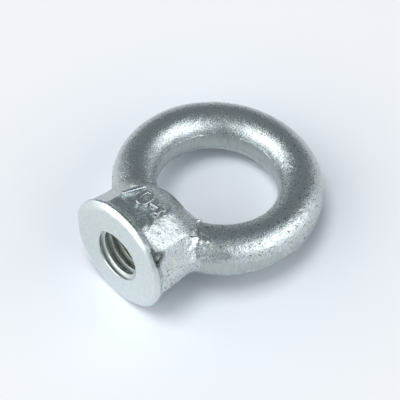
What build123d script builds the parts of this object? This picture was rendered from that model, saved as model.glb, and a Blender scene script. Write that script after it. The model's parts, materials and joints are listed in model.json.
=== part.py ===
from build123d import *

import os
from math import asin, atan2, cos, degrees, hypot, radians, sin, sqrt, tan

# Lifting eye nut, drop forged from one piece of steel: a round ring, a faceted neck, and a round
# foot that is faced, chamfered and tapped right through into the eye. Millimetres. It is drawn
# with the thread along X and the ring in the XY plane about the origin, and laid on its side last.

# Driving dimensions
ring_outer_d = 45.0          # ring, over the trimmed flash land
eye_d = 26.0                 # eye, inside the ring's bar
die_gap = 1.4                # the two half rounds of the bar stand this far apart
foot_d = 25.0                # round foot
foot_to_eye = 29.2           # machined face of the foot to the centre of the eye
foot_land = 0.4              # length of the foot's full round, behind the face's chamfer
foot_back_angle = 45.0       # the foot draws in behind that round, degrees from the thread axis
face_chamfer_reach = 1.3     # chamfer of the machined face: across it,
face_chamfer_depth = 0.7     # and along the thread
thread_d = 12.0              # M12 coarse: the bore is made at tapping size
thread_pitch = 1.75
mouth_clearance = 0.6        # the countersunk mouth, over the thread's diameter
outer_trim = 0.02            # flash trimmed off the outside of the ring, under the half rounds
eye_trim = 0.07              # and off the inside of the eye
facet_angles = (39.0, 67.0)  # corners between the neck's facets, up from the parting plane
facet_inset = 0.15           # those corners start inside the foot's round
facet_round = 1.0            # and are rounded
flash_stand = 0.1            # the neck's parting land stands proud of the foot's round
neck_draft = 8.5             # the neck loses height towards the eye, degrees
neck_pinch = 2.0             # and width over its upper corners, degrees
crown_run = 6.9              # length over which the neck's top rounds down into the eye
crown_drop = 4.4             # and how far it has fallen at the eye
neck_eye_half = 4.8          # half width over which the neck forms the wall of the eye
neck_blend_r = 4.0           # hollow round between the neck's side and the ring, seen along Z
blend_sink = 0.15            # that round runs in this far under the ring's own land
blend_dive = 0.25            # and then this much further for each millimetre
neck_stations = 10           # sections that the neck is drawn through

# Derived sizes
bar_r = (ring_outer_d - eye_d) / 4
ring_r = (ring_outer_d + eye_d) / 4
foot_r = foot_d / 2
outer_land_r = ring_outer_d / 2 - outer_trim
eye_land_r = eye_d / 2 + eye_trim
parting_half = die_gap / 2 + sqrt(bar_r**2 - (bar_r - outer_trim) ** 2)
tap_drill_r = (thread_d - 1.03 * thread_pitch) / 2
mouth_r = (thread_d + mouth_clearance) / 2
rim_x = -foot_to_eye + face_chamfer_depth
foot_round_end_x = rim_x + foot_land
neck_side = foot_r + flash_stand
blend_centre_y = neck_side + neck_blend_r
blend_into_r = outer_land_r - blend_sink
blend_centre_x = -sqrt((blend_into_r + neck_blend_r) ** 2 - blend_centre_y**2)
blend_end_x = blend_centre_x * blend_into_r / (blend_into_r + neck_blend_r)
crown_start_x = -eye_land_r - crown_run
neck_end_x = -sqrt(eye_land_r**2 - neck_eye_half**2)


def ring():
    """Ring of the forged bar: two half rounds a die gap apart, the flash trimmed to a flat land."""
    section = SlotCenterToCenter(die_gap, 2 * bar_r, rotation=90)
    bar = Plane.XZ * Pos(ring_r, 0) * section
    return revolve(bar, Axis.Z) & Cylinder(outer_land_r, 4 * bar_r + die_gap)


def foot():
    """Round foot: a short full round, then a cone that dies away into the neck."""
    back = (foot_r - tap_drill_r) / tan(radians(foot_back_angle))
    profile = Polyline(
        (-foot_to_eye, 0),
        (-foot_to_eye, foot_r),
        (foot_round_end_x, foot_r),
        (foot_round_end_x + back, tap_drill_r),
        (foot_round_end_x + back, 0),
        close=True,
    )
    return revolve(make_face(profile), Axis.X)


def side_at(x):
    """Half width of the neck at its parting land: straight, hollowed out, then within the ring."""
    if x <= blend_centre_x:
        return neck_side
    if x <= blend_end_x:
        return blend_centre_y - sqrt(neck_blend_r**2 - (x - blend_centre_x) ** 2)
    within_r = blend_into_r - blend_dive * (x - blend_end_x)
    return sqrt(within_r**2 - x**2)


def height_at(x):
    """Height of the neck over the parting plane, as a share of its height at the foot's face."""
    foot_height = foot_r - facet_inset
    fallen = (x + foot_to_eye) * tan(radians(neck_draft))
    if x > crown_start_x:
        fallen += crown_drop * ((x - crown_start_x) / crown_run) ** 2
    return 1 - fallen / foot_height


def neck_section(x):
    """Rounded, faceted section of the neck at a place along the thread."""
    corner_r = foot_r - facet_inset
    pinch = (x + foot_to_eye) * tan(radians(neck_pinch))
    quarter = [(side_at(x), parting_half)]
    for angle in facet_angles:
        width = corner_r * cos(radians(angle)) - pinch
        quarter.append((width, corner_r * sin(radians(angle)) * height_at(x)))
    upper = quarter + [(-w, h) for w, h in reversed(quarter)]
    outline = Polygon(*upper, *[(-w, -h) for w, h in upper], align=None)
    facet_corners = [v for v in outline.vertices() if abs(v.Y) > 1.01 * parting_half]
    section_plane = Plane(origin=(x, 0, 0), x_dir=(0, 1, 0), z_dir=(1, 0, 0))
    return section_plane * fillet(facet_corners, facet_round)


def neck():
    """Neck through its sections: faceted at the foot, hollowed and crowned into the ring."""
    step = (neck_end_x + foot_to_eye) / (neck_stations - 1)
    return loft([neck_section(-foot_to_eye + i * step) for i in range(neck_stations)])


def eye_cut():
    """The punch that trims the flash inside the eye, and the neck's wall of it."""
    return Cylinder(eye_land_r, 2 * foot_d)


def face_cuts():
    """What turning takes off outside the machined face and its chamfer."""
    far = 2 * foot_r
    profile = Polyline(
        (-foot_to_eye, foot_r - face_chamfer_reach),
        (-foot_to_eye - far, foot_r - face_chamfer_reach),
        (-foot_to_eye - far, far),
        (rim_x, far),
        (rim_x, foot_r),
        close=True,
    )
    return revolve(make_face(profile), Axis.X)


def bore_cuts():
    """Tapping bore through to the eye, with the countersunk mouth of the thread."""
    mouth_end_x = -foot_to_eye + mouth_r - tap_drill_r
    profile = Polyline(
        (-foot_to_eye, 0),
        (-foot_to_eye, mouth_r),
        (mouth_end_x, tap_drill_r),
        (0, tap_drill_r),
        (0, 0),
        close=True,
    )
    return revolve(make_face(profile), Axis.X)


def rest_tilt():
    """Angle in degrees by which the thread dips towards the ring when the nut lies on its side."""
    run = ring_r - foot_round_end_x
    rise = foot_r - die_gap / 2
    return degrees(atan2(rise, run) - asin(bar_r / hypot(run, rise)))


def lay_down(nut):
    """Turn the nut to where foot and ring both touch the floor, and centre it over the origin."""
    laid = nut.rotate(Axis.Y, rest_tilt())
    box = laid.bounding_box()
    tilt = radians(rest_tilt())
    floor = -foot_round_end_x * sin(tilt) - foot_r * cos(tilt)
    return laid.moved(Location((-box.center().X, 0, -floor)))


def eye_nut():
    forging = ring() + neck() + foot()
    return forging - eye_cut() - face_cuts() - bore_cuts()


os.makedirs("parts", exist_ok=True)
nut = lay_down(eye_nut())
export_step(nut, "parts/eye_nut.step")

box = nut.bounding_box()
print(f"eye nut {box.size.X:.2f} x {box.size.Y:.2f} x {box.size.Z:.2f}, lowest {box.min.Z:.4f}")
print(f"thread dips {rest_tilt():.3f} degrees, solids {len(nut.solids())}, valid {nut.is_valid}")
print(f"volume {nut.volume:.1f}, {len(nut.faces())} faces")
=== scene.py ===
# %% [markdown]
# # A forged lifting eye nut
#
# The solid model already holds the whole nut: one piece of steel, forged between two dies, trimmed,
# then faced, chamfered and tapped. This lesson gives it the skin that those steps leave. The work
# goes in the order of the workshop: the forged blank first, the trimmed and turned surfaces after.

import json
import math

import bmesh
import bpy
from mathutils import Matrix, Vector, noise
from mathutils.bvhtree import BVHTree


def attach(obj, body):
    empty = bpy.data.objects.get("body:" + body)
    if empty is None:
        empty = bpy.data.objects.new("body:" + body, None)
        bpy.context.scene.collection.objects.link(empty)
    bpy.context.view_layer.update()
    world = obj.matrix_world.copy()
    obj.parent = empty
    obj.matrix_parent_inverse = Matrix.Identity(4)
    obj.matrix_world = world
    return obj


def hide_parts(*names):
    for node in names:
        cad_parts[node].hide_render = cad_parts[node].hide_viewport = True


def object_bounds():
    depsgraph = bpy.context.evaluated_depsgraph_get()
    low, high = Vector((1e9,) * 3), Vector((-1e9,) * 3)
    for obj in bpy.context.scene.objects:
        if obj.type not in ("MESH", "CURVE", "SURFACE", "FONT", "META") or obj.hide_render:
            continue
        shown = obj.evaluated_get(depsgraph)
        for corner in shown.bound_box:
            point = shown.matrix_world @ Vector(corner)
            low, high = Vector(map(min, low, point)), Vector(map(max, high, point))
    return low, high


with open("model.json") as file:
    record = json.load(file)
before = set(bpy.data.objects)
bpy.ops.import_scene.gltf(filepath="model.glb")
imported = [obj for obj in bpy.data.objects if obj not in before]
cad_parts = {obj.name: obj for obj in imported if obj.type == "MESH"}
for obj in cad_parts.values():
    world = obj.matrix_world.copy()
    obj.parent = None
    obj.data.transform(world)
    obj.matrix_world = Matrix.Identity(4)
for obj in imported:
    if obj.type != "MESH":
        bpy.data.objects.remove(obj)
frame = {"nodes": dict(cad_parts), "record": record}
cad_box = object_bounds()
print("solid model from", tuple(cad_box[0]), "to", tuple(cad_box[1]))

# %% [markdown]
# ## The nut's own axes
#
# The nut lies on its side, and its thread dips a little towards the ring, because the foot is wider
# than the ring's bar is thick. The tools that machined it are easiest to make in the nut's own
# axes: the thread along X, the ring in the XY plane, the middle of the eye at the origin, and
# millimetres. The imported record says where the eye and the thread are. One matrix made from that
# lays down whatever is made in those axes.

# %% Sizes, and the matrix that lays the nut down
MM = 0.001
mounts = {m["name"]: m for m in frame["record"]["mounts"]}
eye_centre = Vector(mounts["eye"]["pos_m"])
up_axis = Vector(mounts["eye"]["axis"]).normalized()
thread_axis = -Vector(mounts["thread"]["axis"]).normalized()
across_axis = up_axis.cross(thread_axis)
eye_r = mounts["eye"]["dims"]["r_mm"]
drill_r = mounts["thread"]["dims"]["r_mm"]
face_x = (Vector(mounts["foot_face"]["pos_m"]) - eye_centre).dot(thread_axis) / MM

own_axes = Matrix((thread_axis, across_axis, up_axis)).transposed().to_4x4()
laid_down = Matrix.Translation(eye_centre) @ own_axes @ Matrix.Scale(MM, 4)
print(f"eye radius {eye_r} mm, drilled radius {drill_r} mm, foot's face at x = {face_x:.2f} mm")

# %% [markdown]
# ## Camera, floor and light
#
# The nut is looked down on from in front of its foot, through a long lens so that the ring stays
# almost round. Bright metal shows whatever stands round it, so the lamps are two large soft boxes,
# to the left and right of the camera, and the rest of the room is left darker. Without that dark
# part the metal would look like white plastic.

# %% Camera
VIEW_AIM = Vector((-0.5, 0.8, 6.5)) * MM
VIEW_AZIMUTH = math.radians(-41.0)
VIEW_HEIGHT = math.radians(54.8)
VIEW_ROLL = math.radians(-3.9)
VIEW_DISTANCE = 283.5 * MM
LENS = 119.9
SENSOR = 36

level = math.cos(VIEW_HEIGHT)
back = Vector(
    (math.sin(VIEW_AZIMUTH) * level, -math.cos(VIEW_AZIMUTH) * level, math.sin(VIEW_HEIGHT))
)
camera = bpy.data.objects.new("camera", bpy.data.cameras.new("camera"))
bpy.context.scene.collection.objects.link(camera)
camera.data.lens = LENS
camera.data.sensor_width = SENSOR
camera.data.clip_start = 0.01
camera.location = VIEW_AIM + back * VIEW_DISTANCE
facing = (-back).to_track_quat("-Z", "Y").to_matrix()
camera.rotation_euler = (facing @ Matrix.Rotation(VIEW_ROLL, 3, "Z")).to_euler()
bpy.context.scene.camera = camera
print("camera at", tuple(camera.location))

# %% [markdown]
# Colours are written as the usual web hex values. One function turns them into the linear numbers
# that a shader wants, and one adds a node with its settings and links. The others name the kinds
# of node that come back in every material, so that a material reads as a list of its patterns.

# %% Helpers for colours and nodes


def srgb(hex_colour):
    """Linear RGBA of a colour written as #RRGGBB."""
    channels = [int(hex_colour[i : i + 2], 16) / 255 for i in (1, 3, 5)]
    linear = [c / 12.92 if c <= 0.04045 else ((c + 0.055) / 1.055) ** 2.4 for c in channels]
    return (*linear, 1.0)


def set_inputs(tree, node, inputs):
    """Gives each named input a value, or an output socket to be linked to."""
    for name, value in inputs.items():
        socket = node.inputs[name]
        if isinstance(value, bpy.types.NodeSocket):
            tree.links.new(value, socket)
        else:
            socket.default_value = value


def add_node(tree, kind, inputs=None, **settings):
    """A node of that kind, with its settings and its inputs."""
    node = tree.nodes.new(kind)
    for name, value in settings.items():
        setattr(node, name, value)
    set_inputs(tree, node, inputs or {})
    return node


def add_range(tree, value, start, end, low=0.0, high=1.0):
    """That value drawn out, so that start becomes low and end becomes high."""
    inputs = {"Value": value, "From Min": start, "From Max": end, "To Min": low, "To Max": high}
    return add_node(tree, "ShaderNodeMapRange", inputs).outputs["Result"]


def add_blend(tree, factor, first, second):
    """The first colour where the factor is 0, going over to the second where it is 1."""
    inputs = {"Factor": factor, 6: first, 7: second}
    return add_node(tree, "ShaderNodeMix", inputs, data_type="RGBA").outputs[2]


def new_material(name):
    """An empty node material, and its Principled shader."""
    material = bpy.data.materials.new(name)
    material.use_nodes = True
    tree = material.node_tree
    tree.nodes.clear()
    shader = add_node(tree, "ShaderNodeBsdfPrincipled")
    add_node(tree, "ShaderNodeOutputMaterial", {"Surface": shader.outputs["BSDF"]})
    return material, tree, shader


# %% [markdown]
# The floor is a plain board of matt white paper. Its fibres scatter light evenly, so it carries a
# soft shadow and shows no mirror image. Its colour also holds painted shade: it is a little bluer
# and darker round the nut, and goes over to a purer white from there outwards.

# %% Floor
FLOOR_SIZE = 6.0
PALER_FROM = 20 * MM
PALER_TO = 60 * MM
floor_mesh = bpy.data.meshes.new("floor")
floor_bm = bmesh.new()
bmesh.ops.create_grid(floor_bm, x_segments=1, y_segments=1, size=FLOOR_SIZE / 2)
floor_bm.to_mesh(floor_mesh)
floor_bm.free()
floor = bpy.data.objects.new("floor", floor_mesh)
bpy.context.scene.collection.objects.link(floor)

floor_material, tree, shader = new_material("matt_white_board")
place = add_node(tree, "ShaderNodeTexCoord")
reach = add_node(tree, "ShaderNodeVectorMath", {0: place.outputs["Object"]}, operation="LENGTH")
paler = add_range(tree, reach.outputs["Value"], PALER_FROM, PALER_TO)
# painted shade: the board's colour is bluer and darker near the nut and purer white further out
board_with_painted_shade = add_blend(tree, paler, srgb("#F1F5FC"), srgb("#FAFBFD"))
set_inputs(tree, shader, {"Base Color": board_with_painted_shade, "Roughness": 0.7, "Specular IOR Level": 0.2})
floor_mesh.materials.append(floor_material)
print("floor", FLOOR_SIZE, "m wide")

# %% [markdown]
# What the metal mirrors has to be brighter than what falls on the board, or the board would burn
# out. So each soft box has a second lamp close behind it, which only shows in mirrored light, and
# the ceiling lamp gives no mirrored light at all: it lights the board and softens the shadow there.

# %% Soft boxes
BOX_DISTANCE = 2.6
MIRRORED_DISTANCE = 2.7


def soft_box(name, azimuth, height, distance, width, tall, radiance, colour):
    """A rectangular lamp facing the nut. Its power follows from how bright its face has to be."""
    light = bpy.data.lights.new(name, "AREA")
    light.shape = "RECTANGLE"
    light.size = width
    light.size_y = tall
    light.energy = radiance * math.pi * width * tall
    light.color = srgb(colour)[:3]
    lamp = bpy.data.objects.new(name, light)
    bpy.context.scene.collection.objects.link(lamp)
    a, h = math.radians(azimuth), math.radians(height)
    lamp.location = Vector((math.cos(a) * math.cos(h), math.sin(a) * math.cos(h), math.sin(h)))
    lamp.location *= distance
    lamp.rotation_euler = lamp.location.to_track_quat("Z", "Y").to_euler()
    lamp.visible_camera = False
    print(name, "power", round(light.energy, 1), "W")
    return lamp


for side, heading, width, tall, radiance, mirrored_radiance, colour in (
    ("left", (152, 31), 4.2, 3.2, 1.65, 0.7, "#FCFFFF"),
    ("right", (-65, 30), 3.9, 2.1, 1.3, 0.85, "#F8FCFF"),
):
    shape = (width, tall)
    soft_box(side + "_soft_box", *heading, BOX_DISTANCE, *shape, radiance, colour)
    mirrored = soft_box(
        side + "_mirrored_light", *heading, MIRRORED_DISTANCE, *shape, mirrored_radiance, colour
    )
    mirrored.visible_diffuse = False
ceiling = soft_box("ceiling_lamp", 145, 80, BOX_DISTANCE, 1.4, 1.2, 6.6, "#FAFCFF")
ceiling.visible_glossy = False

# %% [markdown]
# The rest of the room is dim and a little blue. It only shows as what the metal mirrors between
# the lamps, and is left out of the light that falls on the board.

# %% The room
world = bpy.data.worlds.new("room")
bpy.context.scene.world = world
world.use_nodes = True
world.node_tree.nodes.clear()
world.cycles_visibility.diffuse = False
room = add_node(
    world.node_tree, "ShaderNodeBackground", {"Color": srgb("#E9F6FF"), "Strength": 0.26}
)
add_node(world.node_tree, "ShaderNodeOutputWorld", {"Surface": room.outputs["Background"]})
bpy.context.scene.view_settings.view_transform = "Standard"
print("room strength", room.inputs["Strength"].default_value)

# %% [markdown]
# ## The forged blank
#
# Hot steel never fills the corners of a die, so a forging has soft corners, hollow rounds where
# shapes meet, and a slightly uneven skin. The solid model has clean edges instead. Bevels could
# soften them one by one, but a forging has no edge loops to hold on to. A voxel remesh is closer to
# the real process: it pours one even skin over the solid, and smoothing then rounds every corner
# at once.
#
# First the helpers. A cylinder, a part of a flat ring and an object made from a mesh are all that
# the blank and most of its tools need.

# %% Helpers for meshes
AXIS_X = Vector((1, 0, 0))
AXIS_Z = Vector((0, 0, 1))
ORIGIN = Vector((0, 0, 0))
ALONG_X = Matrix.Rotation(math.radians(90), 4, "Y")


def add_cylinder(bm, radius, start, end, turn=Matrix.Identity(4)):
    """A closed cylinder between two places on an axis, which is Z unless it is turned."""
    bmesh.ops.create_cone(
        bm,
        cap_ends=True,
        segments=96,
        radius1=radius,
        radius2=radius,
        depth=end - start,
        matrix=turn @ Matrix.Translation((0, 0, (start + end) / 2)),
    )


def add_ring_sector(bm, inner, outer, half, start, sweep):
    """A closed piece of a flat ring round the eye: a rectangle spun about Z by part of a turn."""
    turn = Matrix.Rotation(math.radians(start), 3, "Z")
    corners = [(inner, -half), (outer, -half), (outer, half), (inner, half)]
    verts = [bm.verts.new(turn @ Vector((r, 0, z))) for r, z in corners]
    bmesh.ops.spin(
        bm,
        geom=[bm.faces.new(verts)],
        cent=ORIGIN,
        axis=AXIS_Z,
        angle=math.radians(sweep),
        steps=48,
        use_merge=False,
        use_duplicate=False,
    )


def mesh_object(name, bm):
    """An object made from a bmesh, which is freed."""
    mesh = bpy.data.meshes.new(name)
    bm.to_mesh(mesh)
    bm.free()
    made = bpy.data.objects.new(name, mesh)
    bpy.context.scene.collection.objects.link(made)
    return made


# %% [markdown]
# Some of the solid has to be undone before the skin is poured, because a real blank leaves the die
# without it. Cylinders fill the bore, lengthen the foot and close the eye with a web. Two pieces of
# ring stand for the flash outside it. All of that is cut again later.

# %% Blank: the solid model with its machining undone
FOOT_R = 12.5
LEFT_TO_FACE = 2
FOOT_COLLAR = 1.6
PLUG_R = 6.9
PLUG_SHORT = 0.4
WEB_HALF = 1.5
WEB_OVERLAP = 1
OUTER_LAND_R = 22.48
FLASH_ROOT = 3
FLASH_REACH = 1
FLASH_HALF = 0.9
FLASH_SECTORS = ((98, 46), (-144, 46))

blank_bm = bmesh.new()
blank_bm.from_mesh(frame["nodes"]["eye_nut"].data)
bmesh.ops.remove_doubles(blank_bm, verts=blank_bm.verts, dist=1e-7)
bmesh.ops.transform(blank_bm, matrix=laid_down.inverted(), verts=blank_bm.verts)
add_cylinder(blank_bm, PLUG_R, face_x - LEFT_TO_FACE, -eye_r - PLUG_SHORT, ALONG_X)
add_cylinder(blank_bm, FOOT_R, face_x - LEFT_TO_FACE, face_x + FOOT_COLLAR, ALONG_X)
add_cylinder(blank_bm, eye_r + WEB_OVERLAP, -WEB_HALF, WEB_HALF)
flash_inner, flash_outer = OUTER_LAND_R - FLASH_ROOT, OUTER_LAND_R + FLASH_REACH
for start, sweep in FLASH_SECTORS:
    add_ring_sector(blank_bm, flash_inner, flash_outer, FLASH_HALF, start, sweep)
nut = mesh_object("eye_nut_forging", blank_bm)
print("blank starts from", len(nut.data.polygons), "faces")

# %% Blank: one even skin
VOXEL = 0.26


def apply_modifier(target, kind, **settings):
    """Puts a modifier on, keeps its result as the object's own mesh, and takes it off again."""
    modifier = target.modifiers.new(kind.lower(), kind)
    for name, value in settings.items():
        setattr(modifier, name, value)
    evaluated = target.evaluated_get(bpy.context.evaluated_depsgraph_get())
    result = bpy.data.meshes.new_from_object(evaluated)
    target.modifiers.remove(modifier)
    old, target.data = target.data, result
    bpy.data.meshes.remove(old)


apply_modifier(nut, "REMESH", mode="VOXEL", voxel_size=VOXEL)
print("skin has", len(nut.data.polygons), "faces")

# %% [markdown]
# Smoothing rounds every edge of the skin. The neck's corners were rounder in the die than the
# ring's parting land, so they are smoothed for longer, and the hollows where the neck meets the
# ring for longer still. Each zone is a ball round a place, in millimetres.

# %% Blank: rounded corners
skin = bmesh.new()
skin.from_mesh(nut.data)
for middle, zone_reach, passes in (
    ((0, 0, 0), 60.0, 5),
    ((-17.5, 0, 0), 10.5, 6),
    ((-17, 12.5, 0), 6.5, 30),
    ((-17, -12.5, 0), 6.0, 16),
):
    zone = [v for v in skin.verts if (v.co - Vector(middle)).length < zone_reach]
    for _ in range(passes):
        bmesh.ops.smooth_vert(
            skin, verts=zone, factor=0.5, use_axis_x=True, use_axis_y=True, use_axis_z=True
        )
    print(len(zone), "vertices smoothed", passes, "times")

# %% [markdown]
# The skin is never even. Scale falls off the hot steel and leaves shallow dents, and the dies are
# worn. Noise along each vertex's normal gives a broad unevenness and a scatter of small pits, and
# one side of the ring has more of them, as if it had lain longer in its own scale. Two places are
# rougher, as if struck while hot: the top of the neck, and one corner by the ring. They are rough
# all through their middle third and fade out from there.

# %% Blank: uneven skin
# Spacing and depth of each pattern, and place and reach of each rough place, in millimetres.
BROAD = (7.0, 0.07)
MIDDLE = (1.5, 0.045)
HAMMERED = (1.1, 0.26)
HAMMERED_PLACES = (((-24.6, -1.5, 10.6), 6.5), ((-16.6, -11.0, 4.6), 4.5))
PIT_SPACING = 1.9
PIT_SHARE = 0.22
PIT_DEPTH = 0.13
PITS_SPREAD = 4
PITS_FROM = 0.1
PITS_LEAN = 80
ELSEWHERE = Vector((9, 9, 9))

skin.normal_update()
moves = []
for v in skin.verts:
    height = BROAD[1] * noise.noise(v.co / BROAD[0]) + MIDDLE[1] * noise.noise(v.co / MIDDLE[0])
    for middle, zone_reach in HAMMERED_PLACES:
        off_middle = (v.co - Vector(middle)).length / zone_reach
        hammered = min(1.0, max(0.0, 1.5 * (1 - off_middle)))
        height += hammered * HAMMERED[1] * noise.noise(v.co / HAMMERED[0])
    near, _ = noise.voronoi(v.co / PIT_SPACING)
    pitted = noise.noise(v.co / PITS_SPREAD + ELSEWHERE) > PITS_FROM + v.co.y / PITS_LEAN
    pit = max(0.0, 1 - near[0] / PIT_SHARE) if pitted else 0.0
    moves.append(height - PIT_DEPTH * pit)
for v, move in zip(skin.verts, moves):
    v.co += v.normal * move
skin.to_mesh(nut.data)

# %% [markdown]
# The die also leaves raised lettering on the neck. The nut in hand has its maker's and size marks
# there, and this one has a plain number in their place. It starts as text, which is meshed with
# small bevels for the die's draft. Each of its vertices is then dropped on the skin, so that the
# number follows the neck's crown, and a boolean joins the two.

# %% Blank: raised number
NUMBER_MIDDLE = Vector((-20.9, 0.8, 0))
NUMBER_HEADING = math.radians(-80)
NUMBER_STANDS = 0.85
ABOVE_ALL = 30
DOWN = Vector((0, 0, -1))

text = bpy.data.curves.new("number", "FONT")
text.body = "704"
text.size = 6.5
text.space_character = 1.08
text.align_x = "CENTER"
text.align_y = "CENTER"
text.offset = -0.02
text.extrude = 0.55
text.bevel_depth = 0.24
text.bevel_resolution = 2
text.resolution_u = 4
lettering = bpy.data.objects.new("number", text)
bpy.context.scene.collection.objects.link(lettering)
meshed = lettering.evaluated_get(bpy.context.evaluated_depsgraph_get())
flat_number = bpy.data.meshes.new_from_object(meshed)
bpy.data.objects.remove(lettering)

number_bm = bmesh.new()
number_bm.from_mesh(flat_number)
bmesh.ops.remove_doubles(number_bm, verts=number_bm.verts, dist=1e-4)
number_place = Matrix.Translation(NUMBER_MIDDLE) @ Matrix.Rotation(NUMBER_HEADING, 4, "Z")
bmesh.ops.transform(number_bm, matrix=number_place, verts=number_bm.verts)
top = max(v.co.z for v in number_bm.verts)
skin_tree = BVHTree.FromBMesh(skin)
for v in number_bm.verts:
    below = skin_tree.ray_cast(Vector((v.co.x, v.co.y, ABOVE_ALL)), DOWN)[0]
    v.co.z += below.z - top + NUMBER_STANDS
bmesh.ops.recalc_face_normals(number_bm, faces=number_bm.faces)
unpaired = sum(not e.is_manifold for e in number_bm.edges)
print("number has", len(number_bm.faces), "faces, edges without two faces", unpaired)
number = mesh_object("number", number_bm)
skin.free()

# %% [markdown]
# Three small faults finish the blank. Flash torn at the eye's edge leaves a burr, which is a
# pebble of metal added. Scale struck into the neck behind the foot leaves a dent, and a fold in
# the metal leaves a thin lap where the neck meets the ring. Those two are pebbles taken away.

# %% Blank: burr, dent and lap


def pebble(name, place, radii, heading=0.0):
    """An ellipsoid, with its first radius turned to that heading round Z."""
    bm = bmesh.new()
    matrix = (
        Matrix.Translation(place)
        @ Matrix.Rotation(math.radians(heading), 4, "Z")
        @ Matrix.Diagonal((*radii, 1.0))
    )
    bmesh.ops.create_icosphere(bm, subdivisions=3, radius=1.0, matrix=matrix)
    return mesh_object(name, bm)


DENT_PLACE = (-27.0, -10.3, 7.5)
burr = pebble("burr", (-13.2, -6.7, 4.4), (1.1, 0.35, 0.5), heading=-30)
dent = pebble("dent", DENT_PLACE, (1.5, 1.1, 1.4))
lap = pebble("lap", (-16.7, -10.1, 6.0), (1.8, 0.12, 0.9), heading=-20)

# %% [markdown]
# ## Trimmed and machined surfaces
#
# A punch shears the web out of the eye and leaves a narrow land. A lathe faces and chamfers the
# foot. A drill, a countersink and a tap make the thread. Each is the shape that its tool sweeps,
# taken away from the blank with a boolean, so every edge between raw and cut metal is crisp. What a
# lathe cuts is a profile spun about the thread's axis, so one helper makes those tools.

# %% Helper for tools of revolution


def revolved_about_x(name, profile, rounded=0.0, soft_corners=0):
    """A closed shape spun about the thread's axis. The profile is (along, radius) pairs that start
    and end on the axis, and its first corners away from the axis can be rounded."""
    bm = bmesh.new()
    corners = [bm.verts.new((x, 0, r)) for x, r in profile]
    for a, b in zip(corners, corners[1:]):
        bm.edges.new((a, b))
    if rounded:
        soft = corners[1 : 1 + soft_corners]
        bmesh.ops.bevel(
            bm,
            geom=soft,
            affect="VERTICES",
            offset=rounded,
            segments=4,
            profile=0.5,
            material=-1,
        )
    bmesh.ops.spin(
        bm,
        geom=bm.verts[:] + bm.edges[:],
        cent=ORIGIN,
        axis=AXIS_X,
        angle=math.tau,
        steps=128,
        use_merge=True,
        use_duplicate=False,
    )
    bmesh.ops.remove_doubles(bm, verts=bm.verts, dist=1e-4)
    bmesh.ops.recalc_face_normals(bm, faces=bm.faces)
    return mesh_object(name, bm)


# %% [markdown]
# The foot was not forged quite round, nor held quite central in the lathe, which shows as a chamfer
# of uneven width. So the facing cut gets a little noise in its radius, and a chamfer set to one
# side. It also cuts a shallow groove behind the rim, where the nose of the tool ended its travel.

# %% Facing cut
CHAMFER_REACH = 1.3
CHAMFER_DEPTH = 0.7
CHAMFER_ROUND = 0.3
GROOVE = 0.25
TOOL_R = 20
TOOL_LENGTH = 6
UNEVEN_FOOT = 0.014
UNEVEN_SPREAD = 3
OFF_CENTRE = 0.45
TOUCH = 0.01

foot_far = face_x - TOOL_LENGTH
rim_x = face_x + CHAMFER_DEPTH
facing_cut = revolved_about_x(
    "facing_cut",
    [
        (face_x, 0),
        (face_x, FOOT_R - CHAMFER_REACH),
        (rim_x, FOOT_R),
        (rim_x + GROOVE, FOOT_R),
        (rim_x + 1.6 * GROOVE, FOOT_R - GROOVE),
        (rim_x + 2.2 * GROOVE, FOOT_R + 0.2),
        (rim_x + 2.2 * GROOVE, TOOL_R),
        (foot_far, TOOL_R),
        (foot_far, 0),
    ],
    rounded=CHAMFER_ROUND,
    soft_corners=2,
)
for v in facing_cut.data.vertices:
    uneven = Vector((0, 1, 1)) * UNEVEN_FOOT * noise.noise(v.co / UNEVEN_SPREAD)
    v.co *= Vector((1, 1, 1)) + uneven
    if face_x - TOUCH < v.co.x < rim_x:
        v.co.y -= OFF_CENTRE * (rim_x - v.co.x) / CHAMFER_DEPTH
print("facing cut has", len(facing_cut.data.polygons), "faces")

# %% [markdown]
# The countersink is a cone that leaves a shallow mouth for the thread to run out in. The punch is a
# cylinder of the eye's radius and takes the web out of the eye. The trimming die is two parts of a
# ring, which take off what flash stands out of the nut's ring.

# %% Countersink, punch and trimming die
MOUTH_R = 5.7
MOUTH_SLOPE = 1.0
MOUTH_POINT_R = 4.5
PUNCH_HALF = 12
DIE_SIZE = 4
DIE_OVERLAP = 2

mouth_end = face_x + (MOUTH_R - MOUTH_POINT_R) / MOUTH_SLOPE
countersink = revolved_about_x(
    "countersink",
    [
        (face_x - 1, 0),
        (face_x - 1, MOUTH_R + MOUTH_SLOPE),
        (mouth_end, MOUTH_POINT_R),
        (mouth_end, 0),
    ],
)
punch_bm = bmesh.new()
add_cylinder(punch_bm, eye_r, -PUNCH_HALF, PUNCH_HALF)
punch = mesh_object("punch", punch_bm)
trimming_bm = bmesh.new()
die_outer = OUTER_LAND_R + DIE_SIZE
for start, sweep in FLASH_SECTORS:
    wider = (start - DIE_OVERLAP, sweep + 2 * DIE_OVERLAP)
    add_ring_sector(trimming_bm, OUTER_LAND_R, die_outer, DIE_SIZE, *wider)
bmesh.ops.recalc_face_normals(trimming_bm, faces=trimming_bm.faces)
trimming_die = mesh_object("trimming_die", trimming_bm)
print("countersink, punch and trimming die made")

# %% [markdown]
# The tap cuts a right-hand M12 thread of 1.75 mm pitch. Its shape is one pitch of the thread's
# form, spun about the axis and moved along by a pitch each turn. A spin with a step along its axis
# is exactly that, and the turns only need their shared edges merged and their two ends closed.

# %% Tap
PITCH = 1.75
MAJOR_R = 6.15
FLANK = (MAJOR_R - drill_r) * math.tan(math.radians(30))
ROOT = PITCH / 8
TAP_LEAD = 2.8 * PITCH
TAP_POINT = 3
STEPS_A_TURN = 64
TURNS = 13

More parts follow.
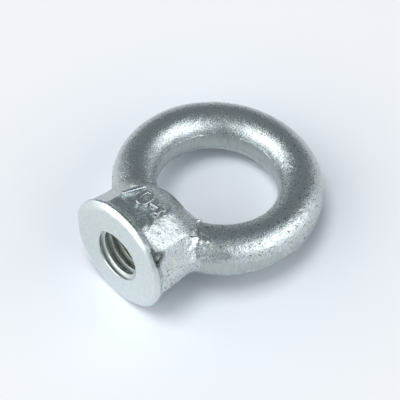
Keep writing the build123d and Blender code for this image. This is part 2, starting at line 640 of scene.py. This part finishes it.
tap_bm = bmesh.new()
tap_start = face_x - TAP_LEAD
form = [
    (0, drill_r),
    (PITCH - ROOT - 2 * FLANK, drill_r),
    (PITCH - ROOT - FLANK, MAJOR_R),
    (PITCH - FLANK, MAJOR_R),
    (PITCH, drill_r),
]
form_verts = [tap_bm.verts.new((tap_start + x, 0, r)) for x, r in form]
form_edges = [tap_bm.edges.new(pair) for pair in zip(form_verts, form_verts[1:])]
bmesh.ops.spin(
    tap_bm,
    geom=form_verts + form_edges,
    cent=ORIGIN,
    axis=AXIS_X,
    dvec=AXIS_X * (PITCH / STEPS_A_TURN),
    angle=math.tau * TURNS,
    steps=STEPS_A_TURN * TURNS,
    use_merge=False,
    use_duplicate=False,
)
bmesh.ops.remove_doubles(tap_bm, verts=tap_bm.verts, dist=1e-3)
open_edges = [e for e in tap_bm.edges if e.is_boundary]
middle_x = sum(v.co.x for e in open_edges for v in e.verts) / (2 * len(open_edges))
for side in (-1, 1):
    rim = [e for e in open_edges if (e.verts[0].co.x - middle_x) * side > 0]
    point = bmesh.ops.extrude_edge_only(tap_bm, edges=rim)["geom"]
    point_verts = [g for g in point if isinstance(g, bmesh.types.BMVert)]
    end_x = sum(v.co.x for v in point_verts) / len(point_verts) + TAP_POINT * side
    bmesh.ops.pointmerge(tap_bm, verts=point_verts, merge_co=(end_x, 0, 0))
bmesh.ops.recalc_face_normals(tap_bm, faces=tap_bm.faces)
print("tap has", len(tap_bm.faces), "faces, open edges", sum(e.is_boundary for e in tap_bm.edges))
tap = mesh_object("tap", tap_bm)

# %% [markdown]
# The steps now go in the workshop's order: what the die added to the blank, the three faults, the
# trimming, and the lathe work. Every tool is a closed shape, so the manifold kind of boolean can
# be used. It is quick and opens no holes in the skin, but where two cuts nearly meet it can leave
# slivers.

# %% Adding and cutting
for tool in (number, burr, dent, lap, punch, trimming_die, facing_cut, countersink, tap):
    operation = "UNION" if tool in (number, burr) else "DIFFERENCE"
    apply_modifier(nut, "BOOLEAN", operation=operation, solver="MANIFOLD", object=tool)
    print("after", tool.name, len(nut.data.polygons), "faces")
    bpy.data.objects.remove(tool)

# %% [markdown]
# The cut faces are told apart by where they are, so that each can have its own finish: turned
# metal on the foot's face and chamfer and in the thread, sheared metal in the eye and where flash
# was trimmed off the ring, and forged skin everywhere else. The slivers that the booleans left are
# dissolved first.

# %% Finishes by place
FORGED, TURNED, SHEARED = 0, 1, 2
BORE_END_X = -10
NEAR_THREAD = 0.05
NEAR_EYE = 0.02
SLIVER = 2e-3


def in_flash_sector(place):
    """Whether that place is in one of the two sectors where flash was sheared off the ring."""
    heading = math.degrees(math.atan2(place.y, place.x))
    return any(start < heading < start + sweep for start, sweep in FLASH_SECTORS)


nut.data.materials.clear()
bm = bmesh.new()
bm.from_mesh(nut.data)
bmesh.ops.dissolve_degenerate(bm, edges=bm.edges, dist=SLIVER)
counts = [0, 0, 0]
for f in bm.faces:
    c = f.calc_center_median()
    off_thread = math.hypot(c.y, c.z)
    off_eye = math.hypot(c.x, c.y)
    f.material_index = FORGED
    in_bore = off_thread < MAJOR_R + NEAR_THREAD and c.x < BORE_END_X
    on_outer_land = off_eye > OUTER_LAND_R - TOUCH and in_flash_sector(c)
    if c.x < rim_x - TOUCH or in_bore:
        f.material_index = TURNED
    elif off_eye < eye_r + NEAR_EYE or on_outer_land:
        f.material_index = SHEARED
    counts[f.material_index] += 1
print("forged, turned and sheared faces:", counts)

# %% [markdown]
# The one matrix now lays the nut down on the floor. Its uneven skin bulges past the solid model by
# a few hundredths of a millimetre where it touches the floor, and is pressed back into the solid's
# box, so that the nut still takes up the room that its record gives.
#
# The edges that a tool cut are marked sharp and the rest is shaded smooth, all but the turned face.
# Its long thin triangles would shade unevenly, so it is made flat. Marking sharp edges makes every
# face smooth, so this comes after it.

# %% Laying down, and sharp edges
SHARP_ANGLE = math.radians(38)
FACES_ALONG_THREAD = 0.9999

bm.transform(laid_down)
for v in bm.verts:
    v.co = [min(max(v.co[i], cad_box[0][i]), cad_box[1][i]) for i in range(3)]
bmesh.ops.triangulate(bm, faces=[f for f in bm.faces if len(f.verts) > 4])
unpaired = sum(not e.is_manifold for e in bm.edges)
triangles = sum(len(f.verts) - 2 for f in bm.faces)
print("edges without two faces", unpaired, "triangles", triangles)
bm.to_mesh(nut.data)
bm.free()
nut.data.set_sharp_from_angle(angle=SHARP_ANGLE)
for polygon in nut.data.polygons:
    polygon.use_smooth = abs(polygon.normal.dot(thread_axis)) < FACES_ALONG_THREAD
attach(nut, "root")
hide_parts("eye_nut")

# %% [markdown]
# ## Zinc plate
#
# The nut is drop-forged steel under a thin electroplated coat of zinc, with a clear passivation
# that has a faint blue-green cast. Zinc is a bright metal of middling gloss, and it follows every
# grain of the steel below, so each finish is the same metal over a different skin. One shared
# group of nodes could make all three, but its many inputs would hide what sets them apart. Each is
# a few plain nodes instead, with patterns set in the nut's own millimetres.

# %% Helpers for the metal
turned_to_own = (0.0, math.asin(-thread_axis.z), 0.0)


def own_coordinates(tree):
    """Places in the nut's own axes, in millimetres."""
    place = add_node(tree, "ShaderNodeTexCoord")
    lay = add_node(
        tree,
        "ShaderNodeMapping",
        {
            "Vector": place.outputs["Object"],
            "Location": eye_centre,
            "Rotation": turned_to_own,
            "Scale": (MM, MM, MM),
        },
        vector_type="TEXTURE",
    )
    return lay.outputs["Vector"]


def add_noise(tree, place, scale, detail, roughness):
    """Noise from 0 to 1, with about that many spots to a millimetre."""
    inputs = {"Vector": place, "Scale": scale, "Detail": detail, "Roughness": roughness}
    return add_node(tree, "ShaderNodeTexNoise", inputs).outputs["Fac"]


def add_bump(tree, height, depth_mm, **below):
    """Slopes of a pattern from 0 to 1 that is that deep. They can be laid over another Normal."""
    inputs = {"Height": height, "Distance": depth_mm * MM, **below}
    return add_node(tree, "ShaderNodeBump", inputs).outputs["Normal"]


# %% [markdown]
# **Forged skin.** The blank was shot-blasted clean, which leaves a grain of about a third of a
# millimetre, and the plate copies it: tilted grains sparkle inside a highlight and break it up.
# The plate is duller in the hollows of the grain, and its colour is darkened there too, as painted
# shade in the hollows. It is thin or missing over small pits, of which one side of the ring has
# more, and those stay nearly black. Round the dent behind the foot the colour is painted nearly
# black as well, which is painted shade in that hollow. The passivation dries in patches that lean
# blue or straw.

# %% Zinc on the forged skin
MORE_PITS_A_MM = 0.0022
# The dent's painted shade: how ragged its edge is, and the distances over which it fades out
DENT_SHADE_RAGGED = 4.0
DENT_SHADE_REACH = (3.6, 4.5)

forged, tree, shader = new_material("zinc_plate_on_forged_steel")
own = own_coordinates(tree)
grain = add_noise(tree, own, scale=2.6, detail=3.0, roughness=0.7)
patches = add_noise(tree, own, scale=0.3, detail=3.0, roughness=0.6)
pits = add_noise(tree, own, scale=1.7, detail=2.0, roughness=0.8)

straw = add_range(tree, patches, 0.45, 0.68)
passivated = add_blend(tree, straw, srgb("#CAD1D3"), srgb("#CDD0CC"))
# painted shade: the colour goes darker in the hollows of the grain that the bump below makes
painted_hollow_shade = add_range(tree, grain, 0.5, 0.3, high=0.5)
grained_with_painted_shade = add_blend(tree, painted_hollow_shade, passivated, srgb("#5F6665"))

apart = add_node(tree, "ShaderNodeSeparateXYZ", {"Vector": own})
pitted = add_node(
    tree,
    "ShaderNodeMath",
    {0: apart.outputs["Y"], 1: -MORE_PITS_A_MM, 2: pits},
    operation="MULTIPLY_ADD",
)
bare = add_range(tree, pitted.outputs["Value"], 0.64, 0.69, high=0.85)

# painted shade: the colour goes nearly black round the dent behind the foot, with a ragged edge
from_dent = add_node(tree, "ShaderNodeVectorMath", {0: own, 1: DENT_PLACE}, operation="DISTANCE")
ragged_dent_shade = add_node(
    tree,
    "ShaderNodeMath",
    {0: patches, 1: DENT_SHADE_RAGGED, 2: from_dent.outputs["Value"]},
    operation="MULTIPLY_ADD",
)
dent_painted_shade = add_range(tree, ragged_dent_shade.outputs["Value"], DENT_SHADE_REACH[1], DENT_SHADE_REACH[0], high=0.75)
# the real dark pits and the painted shade round the dent, taken together
pits_and_painted_shade = add_node(tree, "ShaderNodeMath", {0: bare, 1: dent_painted_shade}, operation="MAXIMUM")

# The base colour is nearly black over the pits and in the dent's painted shade.
forged_look = {
    "Base Color": add_blend(tree, pits_and_painted_shade.outputs["Value"], grained_with_painted_shade, srgb("#3B3D38")),
    "Roughness": add_range(tree, grain, 0.35, 0.65, low=0.36, high=0.17),
    "Normal": add_bump(tree, grain, 0.1),
    "Metallic": 1.0,
}
set_inputs(tree, shader, forged_look)
print("forged skin:", len(tree.nodes), "nodes")

# %% [markdown]
# **Turned faces.** A tool that feeds across the foot's face leaves fine rings round the thread's
# axis. They are drawn a little coarser than the real feed of about 0.1 mm, or they would be too
# fine to show. The plate is paler and more even here, for there is no grain below. Plating hardly
# reaches into a deep hole, so it grows thinner and browner down the thread.

# %% Zinc on the turned faces
THINNER_FROM = face_x + 2
THINNER_TO = face_x + 9

turned, tree, shader = new_material("zinc_plate_on_turned_steel")
own = own_coordinates(tree)
apart = add_node(tree, "ShaderNodeSeparateXYZ", {"Vector": own})
across = add_node(
    tree, "ShaderNodeCombineXYZ", {"Y": apart.outputs["Y"], "Z": apart.outputs["Z"]}
)
radius = add_node(tree, "ShaderNodeVectorMath", {0: across.outputs["Vector"]}, operation="LENGTH")
rings = add_node(
    tree,
    "ShaderNodeTexNoise",
    {"W": radius.outputs["Value"], "Scale": 3.0, "Detail": 2.0, "Roughness": 0.7},
    noise_dimensions="1D",
)
mottle = add_noise(tree, own, scale=1.3, detail=4.0, roughness=0.7)
mottled = add_blend(tree, mottle, srgb("#BAC3C3"), srgb("#E8EEEC"))
deep = add_range(tree, apart.outputs["X"], THINNER_FROM, THINNER_TO)
ringed = add_bump(tree, rings.outputs["Fac"], 0.03)

turned_look = {
    "Base Color": add_blend(tree, deep, mottled, srgb("#D8D8CC")),
    "Roughness": 0.36,
    "Normal": add_bump(tree, mottle, 0.09, Normal=ringed),
    "Metallic": 1.0,
}
set_inputs(tree, shader, turned_look)
print("turned faces:", len(tree.nodes), "nodes")

# %% [markdown]
# **Sheared lands.** A punch drags the metal along its travel, so a sheared land is streaked across
# the ring's thickness. Squeezing the pattern's place along the ring's axis draws it out into such
# streaks. The plate is dull on them and takes the greenest cast.

# %% Zinc on the sheared lands
SQUEEZE = (1.0, 1.0, 0.2)

sheared, tree, shader = new_material("zinc_plate_on_sheared_steel")
own = own_coordinates(tree)
squeezed = add_node(tree, "ShaderNodeVectorMath", {0: own, 1: SQUEEZE}, operation="MULTIPLY")
streaks = add_noise(tree, squeezed.outputs["Vector"], scale=2.2, detail=4.0, roughness=0.7)

sheared_look = {
    "Base Color": add_blend(tree, streaks, srgb("#969E9B"), srgb("#CED5D2")),
    "Roughness": 0.42,
    "Normal": add_bump(tree, streaks, 0.07),
    "Metallic": 1.0,
}
set_inputs(tree, shader, sheared_look)
print("sheared lands:", len(tree.nodes), "nodes")

# %% [markdown]
# The materials go on in the order of the numbers that the faces were given.

# %% Materials
for material in (forged, turned, sheared):
    nut.data.materials.append(material)
